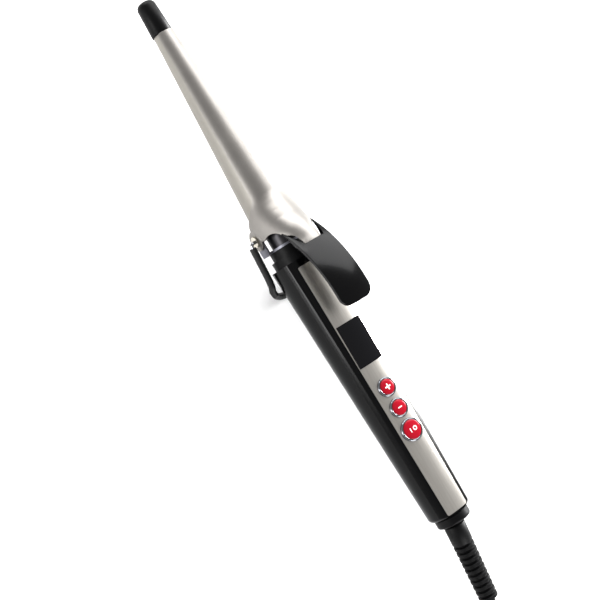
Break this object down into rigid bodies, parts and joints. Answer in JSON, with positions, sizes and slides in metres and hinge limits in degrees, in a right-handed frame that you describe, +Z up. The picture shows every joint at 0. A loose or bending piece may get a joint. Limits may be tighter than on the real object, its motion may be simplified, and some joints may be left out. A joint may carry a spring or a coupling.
{
  "type": "curling iron",
  "caption": "Tapered curling iron with a sprung clamp, thumb lever, fold-out stand, digital handle with push buttons, and a swivel cord with a two-pin plug.",
  "frame": {"origin": "on the surface under the folded stand's loop, midway between the cool tip's end and the strain relief's end, on the middle plane", "axes": "+Y along the barrel to the cool tip, +Z up through the thumb lever and the buttons, +X to the iron's right seen from the handle"},
  "size_m": [0.0564, 0.5825, 0.06],
  "materials": {
    "clamp_steel": "sandblasted, satin",
    "barrel_coating": "satin ceramic coat",
    "tip_plastic": "fine satin",
    "handle_plastic": "gloss",
    "relief_rubber": "satin",
    "heater_aluminium": "extruded",
    "ceramic": "fired",
    "spring_steel": "drawn",
    "sensor_glass": "glazed bead",
    "fuse_can": "plated",
    "neck_steel": "blackened",
    "bracket_steel": "satin zinc",
    "stand_chrome": "polished wire",
    "stand_sleeve": "satin heat sleeve",
    "screw_steel": "black zinc",
    "fascia_aluminium": "brushed",
    "window_smoke": "polished smoked acrylic",
    "bezel_chrome": "polished",
    "button_red": "gloss",
    "circuit_green": "solder mask",
    "component_black": "moulded",
    "fuse_ceramic": "fired",
    "capacitor_box": "moulded box",
    "gold_pins": "plated",
    "lead_silicone": "silicone braid",
    "swivel_plastic": "moulded",
    "cord_black": "satin",
    "tie_black": "woven strap",
    "plug_black": "moulded",
    "pin_nickel": "nickel plated"
  },
  "bodies": {
    "root": {"barrel": "barrel_coating", "cool_tip": "tip_plastic", "heater_shell_upper": "heater_aluminium", "heater_shell_lower": "heater_aluminium", "ceramic_heater": "ceramic", "heater_spring": "spring_steel", "temperature_sensor": "sensor_glass", "thermal_fuse": "fuse_can", "base_insulator": "ceramic", "neck": "neck_steel", "hinge_bracket": "bracket_steel", "hinge_rivets": "fuse_can", "clamp_springs": "spring_steel", "front_collar": "tip_plastic", "handle_upper": "handle_plastic", "handle_lower": "handle_plastic", "shell_screws": "screw_steel", "fascia": "fascia_aluminium", "display_window": "window_smoke", "display_module": "circuit_green", "display_pins": "gold_pins", "button_bezels": "bezel_chrome", "tact_switches": "component_black", "circuit_board": "circuit_green", "board_screws": "screw_steel", "triac": "component_black", "fuse": "fuse_ceramic", "film_capacitor": "capacitor_box", "control_chip": "component_black", "heater_leads": "lead_silicone", "swivel_contacts": "gold_pins", "supply_leads": "lead_silicone", "end_ring": "tip_plastic", "cord_lead": "cord_black", "cord_hank": "cord_black", "cord_tie": "tie_black", "cord_tail": "cord_black", "plug_body": "plug_black", "plug_pins": "pin_nickel"},
    "clamp": {"clamp": "clamp_steel", "thumb_lever": "handle_plastic", "lever_rivets": "fuse_can"},
    "stand": {"stand_wire": "stand_chrome", "stand_sleeve": "stand_sleeve"},
    "plus_button": {"button_plus": "button_red"},
    "minus_button": {"button_minus": "button_red"},
    "power_button": {"button_power": "button_red"},
    "cord_swivel": {"swivel_ball": "swivel_plastic", "strain_relief": "relief_rubber"}
  },
  "joints": [
    {"name": "clamp_hinge", "type": "hinge", "parent": "root", "child": "clamp", "pos_m": [0, 0.04748, 0.019], "axis": [1, 0, 0], "range_deg": [0, 18], "stiffness_Nm_per_rad": 0.15, "springref_deg": -68.75},
    {"name": "stand_fold", "type": "hinge", "parent": "root", "child": "stand", "pos_m": [0, 0.04748, 0.019], "axis": [1, 0, 0], "range_deg": [0, 110]},
    {"name": "plus_press", "type": "slide", "parent": "root", "child": "plus_button", "axis": [0, 0, -1], "range_m": [0, 0.0006], "stiffness_N_per_m": 1500, "springref_m": -0.0004},
    {"name": "minus_press", "type": "slide", "parent": "root", "child": "minus_button", "axis": [0, 0, -1], "range_m": [0, 0.0006], "stiffness_N_per_m": 1500, "springref_m": -0.0004},
    {"name": "power_press", "type": "slide", "parent": "root", "child": "power_button", "axis": [0, 0, -1], "range_m": [0, 0.0006], "stiffness_N_per_m": 1500, "springref_m": -0.0004},
    {"name": "cord_spin", "type": "hinge", "parent": "root", "child": "cord_swivel", "pos_m": [0, -0.13052, 0.022], "axis": [0, -0.9803, -0.1977], "continuous": true}
  ]
}
